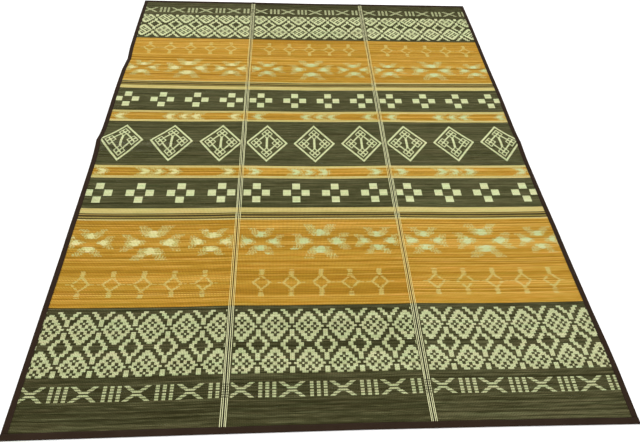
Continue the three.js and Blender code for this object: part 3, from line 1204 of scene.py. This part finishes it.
def cord_dip(index, motif):
    """How far the cords sink under a row of rush: two rows in four, or one in five."""
    if motif is dashes:
        return DEEP_DIP if index % 4 < 2 else 0.0
    if motif is lattice:
        return LATTICE_DIP if index % 4 < 2 else 0.0
    return SHALLOW_DIP if index % 5 == 0 else 0.0


def cord_rows(picks):
    """Stations of a warp cord along the rug: place, dip and warmth."""
    return [(pick["at"], cord_dip(index, pick["band"]["motif"]),
             WARM_GROUNDS.get(pick["band"]["ground"], 0.0)) for index, pick in enumerate(picks)]


def lay_cord(join, order, stations, sizes, rng):
    """Points and warmth of one cord of a join, as rings of CORD_SIDES points."""
    side = 1 if order >= CORD_COUNT / 2 else -1
    within = 0.5 if order % 2 else -0.5
    offset = (side * sizes.pair_gap / 2 + within * sizes.cord_gap) / MM
    phase = rng.uniform(0, 2 * math.pi)
    at, dip, warmth = np.array(stations).T
    y = at - HALF_LENGTH
    x = join * JOIN_X + offset + 0.5 * np.sin(at / 97 + phase) + 0.25 * np.sin(at / 31 + 2 * phase)
    half_width = sizes.cord_width / MM / 2 * (1 + 0.08 * np.sin(at / 13 + phase))
    place_x, place_y = outline_place(x, y)
    top = fold_lift(x, y) + seat_lift(x, y) + CLOTH_THICKNESS + join_rise(x) * RUSH_SHARE
    middle = top + CORD_LIFT - dip
    points = np.zeros((len(at), CORD_SIDES, 3))
    for k in range(CORD_SIDES):
        angle = 2 * math.pi * (k + 0.5) / CORD_SIDES
        points[:, k, 0] = place_x + half_width * math.cos(angle)
        points[:, k, 1] = place_y
        points[:, k, 2] = middle + CORD_HALF_HEIGHT * math.sin(angle)
    return points.reshape(-1, 3), np.repeat(warmth, CORD_SIDES)


class RUG_OT_lay_cords(bpy.types.Operator):
    """Lay the pale warp cords along the two joins"""
    bl_idname = "rug.lay_cords"
    bl_label = "Lay Warp Cords"

    def execute(self, context):
        sizes = context.scene.rug_sizes
        colours = context.scene.rug_colours
        material = cord_material(tuple(colours.cord), tuple(colours.warm_cord))
        rng = random.Random(77)
        stations = cord_rows(picks_of_rug())
        for name, join in SIDES.items():
            points, faces, warmths = [], [], []
            for order in range(CORD_COUNT):
                cord, warmth = lay_cord(join, order, stations, sizes, rng)
                first = len(points)
                points += (cord * MM).tolist()
                warmths += warmth.tolist()
                faces += strand_faces(first, len(stations), CORD_SIDES)
            piece = add_piece("join_cords_" + name, points, faces, [material])
            point_values(piece.data, "warmth", warmths)
            finish_piece(piece, "rush")
        return {"FINISHED"}


# The binding
TAPE_STEP = 9.0
TAPE_CLEARANCE = 0.3
ARC_STEPS = 5
FOLD_ROUND = 0.9  # radius of the fold, as a share of half the tape's height
END_TUCK = 0.75  # height of the upper leaf at a tape's ends, as a share of its usual height
EDGE_WAVER = 0.35  # how far the inner edge strays, in mm
EDGE_JITTER = 0.12
PUFF = 0.12  # how far the upper leaf swells
PUFF_JITTER = 0.05


def arc(middle, radius, start, end):
    """Points along an arc of the section, as (inset, height), with angles in quarter turns."""
    angles = (math.pi / 2 * (start + (end - start) * i / ARC_STEPS) for i in range(ARC_STEPS + 1))
    return [(middle[0] + radius * math.cos(angle), middle[1] + radius * math.sin(angle)) for angle in angles]


def tape_section(height, thickness):
    """The folded tape's section: (inset from the edge, height) going round, in mm. It runs in along
    the floor, out round the fold, over the top to the inner edge, and back inside the fold."""
    outer = height / 2 * FOLD_ROUND
    inner = outer - thickness
    low, high = (outer, outer), (outer, height - outer)
    section = [(TAPE_REACH, 0.15), (TAPE_REACH * 0.55, 0.0)]
    section += arc(low, outer, 3, 2) + arc(high, outer, 2, 1)
    section += [(TAPE_REACH * 0.35, height + 0.15), (TAPE_REACH * 0.7, height + 0.05),
                (TAPE_REACH - 0.5, height - 0.12), (TAPE_REACH, height - 0.4),
                (TAPE_REACH - 0.3, height - thickness + 0.05), (TAPE_REACH * 0.5, height - thickness)]
    section += arc(high, inner, 1, 2) + arc(low, inner, 2, 3)
    section += [(TAPE_REACH * 0.5, thickness), (TAPE_REACH - 0.2, thickness - 0.1)]
    return section


def run_tape(name, stations, place_at, material, sizes, seed):
    """One folded tape along a list of stations. place_at turns (inset, station) into x and y."""
    rng = random.Random(seed)
    height, thickness = sizes.tape_height / MM, sizes.tape_thickness / MM
    section = tape_section(height, thickness)
    around = len(section)
    points = []
    waver = rng.uniform(0, 6)
    for order, station in enumerate(stations):
        tuck = 1.0 if 0 < order < len(stations) - 1 else END_TUCK
        edge_waver = EDGE_WAVER * math.sin(station / 47 + waver) + rng.uniform(-EDGE_JITTER, EDGE_JITTER)
        puff = PUFF * math.sin(station / 29 + 2 * waver) + rng.uniform(-PUFF_JITTER, PUFF_JITTER)
        for inset, level in section:
            inner = inset / TAPE_REACH
            x, y = place_at(inset + edge_waver * inner if inner > 0.9 else inset, station)
            rise = float(fold_lift(x, y))
            if level > height / 2:
                rise += float(join_rise(x)) + puff * math.sin(inner * math.pi)
                level = height / 2 + (level - height / 2) * tuck
            place_x, place_y = outline_place(x, y)
            points.append((float(place_x) * MM, float(place_y) * MM, (level + rise) * MM))
    return add_piece(name, points, strand_faces(0, len(stations), around), [material])


def even_stations(low, high, step):
    """Places from low to high, spaced evenly by about a step."""
    count = max(2, round((high - low) / step))
    return [low + (high - low) * i / count for i in range(count + 1)]


def join_stations():
    """Places across the rug where an end tape climbs over a join."""
    return [side * JOIN_X + step for side in (-1, 1)
            for step in (-JOIN_HALF_WIDTH, -JOIN_HALF_TOP, JOIN_HALF_TOP, JOIN_HALF_WIDTH)]


def side_place(side):
    """Turns an inset from a side edge and a place along it into x and y."""
    return lambda inset, station: (side * (HALF_WIDTH - inset), station)


def end_place(end):
    """Turns an inset from an end edge and a place along it into x and y."""
    return lambda inset, station: (station, end * (HALF_LENGTH - inset))


class RUG_OT_bind_edges(bpy.types.Operator):
    """Fold the dark tape round the four edges"""
    bl_idname = "rug.bind_edges"
    bl_label = "Bind Edges"

    def execute(self, context):
        sizes = context.scene.rug_sizes
        material = tape_material(tuple(context.scene.rug_colours.tape))
        side_end = HALF_LENGTH - TAPE_REACH - TAPE_CLEARANCE
        for order, (name, side) in enumerate(SIDES.items()):
            stations = even_stations(-side_end, side_end, TAPE_STEP)
            if side < 0:
                stations.reverse()
            piece = run_tape("tape_" + name, stations, side_place(side), material, sizes, 10 + order)
            finish_piece(piece, "binding", "binding_" + name)
        for order, (name, end) in enumerate(ENDS.items()):
            stations = sorted(even_stations(-HALF_WIDTH, HALF_WIDTH, TAPE_STEP) + join_stations())
            if end > 0:
                stations.reverse()
            piece = run_tape("tape_" + name, stations, end_place(end), material, sizes, 20 + order)
            finish_piece(piece, "binding", "binding_" + name)
        return {"FINISHED"}


# The sewing of the tape
STITCH_INSET = 16.8
STITCH_LENGTH = 3.6
STITCH_SIDES = 5
STITCH_RADIUS = 0.32
# Rings of a stitch: place along it as a share of its length, swell and rise as shares of its radius
STITCH_PROFILE = ((-0.5, 0.35, -0.35), (-0.3, 0.9, 0.1), (0.3, 0.9, 0.1), (0.5, 0.35, -0.35))
STITCH_END_GAP = 3
STITCH_SWAY = 0.25
STITCH_LIFT = 0.02


def stitch_points(x, y, along, top):
    """Rings of one stitch lying along a unit direction on the tape, in mm."""
    points = []
    for step, swell, rise in STITCH_PROFILE:
        centre = (x + along[0] * step * STITCH_LENGTH, y + along[1] * step * STITCH_LENGTH)
        for k in range(STITCH_SIDES):
            angle = 2 * math.pi * k / STITCH_SIDES
            across = STITCH_RADIUS * swell * math.cos(angle)
            points.append((centre[0] - along[1] * across, centre[1] + along[0] * across,
                           top + STITCH_RADIUS * (rise + swell * math.sin(angle))))
    return points


class RUG_OT_sew_tape(bpy.types.Operator):
    """Sew a row of stitches along the inner edge of the tape"""
    bl_idname = "rug.sew_tape"
    bl_label = "Sew Tape"

    def execute(self, context):
        sizes = context.scene.rug_sizes
        material = thread_material(tuple(context.scene.rug_colours.thread))
        pitch = sizes.stitch_pitch / MM
        height = sizes.tape_height / MM
        side_end = HALF_LENGTH - TAPE_REACH - STITCH_END_GAP
        end_end = HALF_WIDTH - STITCH_END_GAP
        seams = [("stitches_" + name, side_place(side), side_end, (0, 1)) for name, side in SIDES.items()]
        seams += [("stitches_" + name, end_place(end), end_end, (1, 0)) for name, end in ENDS.items()]
        for order, (name, place_at, reach, along) in enumerate(seams):
            rng = random.Random(40 + order)
            points, faces = [], []
            for station in even_stations(-reach, reach, pitch):
                x, y = place_at(STITCH_INSET + rng.uniform(-STITCH_SWAY, STITCH_SWAY), station)
                top = height + float(fold_lift(x, y)) + float(join_rise(x)) + STITCH_LIFT
                place_x, place_y = outline_place(x, y)
                first = len(points)
                points += stitch_points(float(place_x), float(place_y), along, top)
                stitch_faces = strand_faces(first, len(STITCH_PROFILE), STITCH_SIDES)
                faces += [face[::-1] for face in stitch_faces]
            scaled = [tuple(part * MM for part in point) for point in points]
            piece = add_piece(name, scaled, faces, [material])
            finish_piece(piece, "binding")
        return {"FINISHED"}


# The stage
FLOOR_HALF = 9.0
FLOOR_DROP = 0.0004
LAMP_SIZE = (3.2, 2.2)
LAMP_PLACE = (-0.3, 0.7, 4.0)


def lay_floor(colour):
    half = FLOOR_HALF
    corners = [(-half, -half, 0), (half, -half, 0), (half, half, 0), (-half, half, 0)]
    floor = add_piece("floor", corners, [(0, 1, 2, 3)], [floor_material(tuple(colour))], smooth=False)
    floor.location.z = -FLOOR_DROP


def light_scene(scene, stage):
    """A sky that is even on all sides and one large soft lamp above the rug."""
    world = bpy.data.worlds.new("soft_sky")
    world.use_nodes = True
    sky = next(n for n in world.node_tree.nodes if n.type == "BACKGROUND")
    sky.inputs["Color"].default_value = (1.0, 1.0, 1.0, 1)
    sky.inputs["Strength"].default_value = stage.sky_strength
    scene.world = world
    lamp = bpy.data.lights.new("soft_lamp", "AREA")
    lamp.shape = "RECTANGLE"
    lamp.size, lamp.size_y = LAMP_SIZE
    lamp.energy = stage.lamp_power
    lamp_object = bpy.data.objects.new("soft_lamp", lamp)
    lamp_object.location = LAMP_PLACE
    aim = Vector((0, 0, 0)) - lamp_object.location
    lamp_object.rotation_euler = aim.to_track_quat("-Z", "Y").to_euler()
    scene.collection.objects.link(lamp_object)


def place_camera(scene, stage):
    """The camera of the photo's view."""
    camera = bpy.data.cameras.new("photo_view")
    camera.sensor_width = 36
    camera.lens = stage.lens
    camera.shift_x, camera.shift_y = stage.shift
    camera.clip_end = 50
    camera_object = bpy.data.objects.new("photo_view", camera)
    turn = (Matrix.Rotation(-stage.camera_turn, 4, "Z")
            @ Matrix.Rotation(math.pi / 2 - stage.camera_dip, 4, "X")
            @ Matrix.Rotation(stage.camera_roll, 4, "Z"))
    camera_object.matrix_world = Matrix.Translation(stage.camera_place) @ turn
    scene.collection.objects.link(camera_object)
    scene.camera = camera_object


class RUG_OT_set_stage(bpy.types.Operator):
    """Lay the pale floor, hang the soft lamp and place the camera"""
    bl_idname = "rug.set_stage"
    bl_label = "Set Stage"

    def execute(self, context):
        scene = context.scene
        lay_floor(scene.rug_colours.floor)
        light_scene(scene, scene.rug_stage)
        place_camera(scene, scene.rug_stage)
        scene.view_settings.view_transform = "Standard"
        return {"FINISHED"}


STEPS = (RUG_OT_set_stage, RUG_OT_weave_lanes, RUG_OT_lay_cords, RUG_OT_bind_edges, RUG_OT_sew_tape)


class RUG_PT_panel(bpy.types.Panel):
    """Sizes, colours and steps of the rush rug"""
    bl_label = "Rush Rug"
    bl_idname = "RUG_PT_panel"
    bl_space_type = "VIEW_3D"
    bl_region_type = "UI"
    bl_category = "Rush Rug"

    def draw(self, context):
        layout = self.layout
        for group in (context.scene.rug_sizes, context.scene.rug_colours, context.scene.rug_stage):
            box = layout.box()
            for name in type(group).__annotations__:
                box.prop(group, name)
        for step in STEPS:
            layout.operator(step.bl_idname)


GROUPS = {"rug_sizes": RugSizes, "rug_colours": RugColours, "rug_stage": RugStage}
CLASSES = (*GROUPS.values(), *STEPS, RUG_PT_panel)


def register():
    for cls in CLASSES:
        bpy.utils.register_class(cls)
    for name, group in GROUPS.items():
        setattr(bpy.types.Scene, name, bpy.props.PointerProperty(type=group))


def unregister():
    for name in GROUPS:
        delattr(bpy.types.Scene, name)
    for cls in reversed(CLASSES):
        bpy.utils.unregister_class(cls)


def main():
    register()
    bpy.ops.rug.set_stage()
    bpy.ops.rug.weave_lanes()
    bpy.ops.rug.lay_cords()
    bpy.ops.rug.bind_edges()
    bpy.ops.rug.sew_tape()


if __name__ == "__main__":
    main()
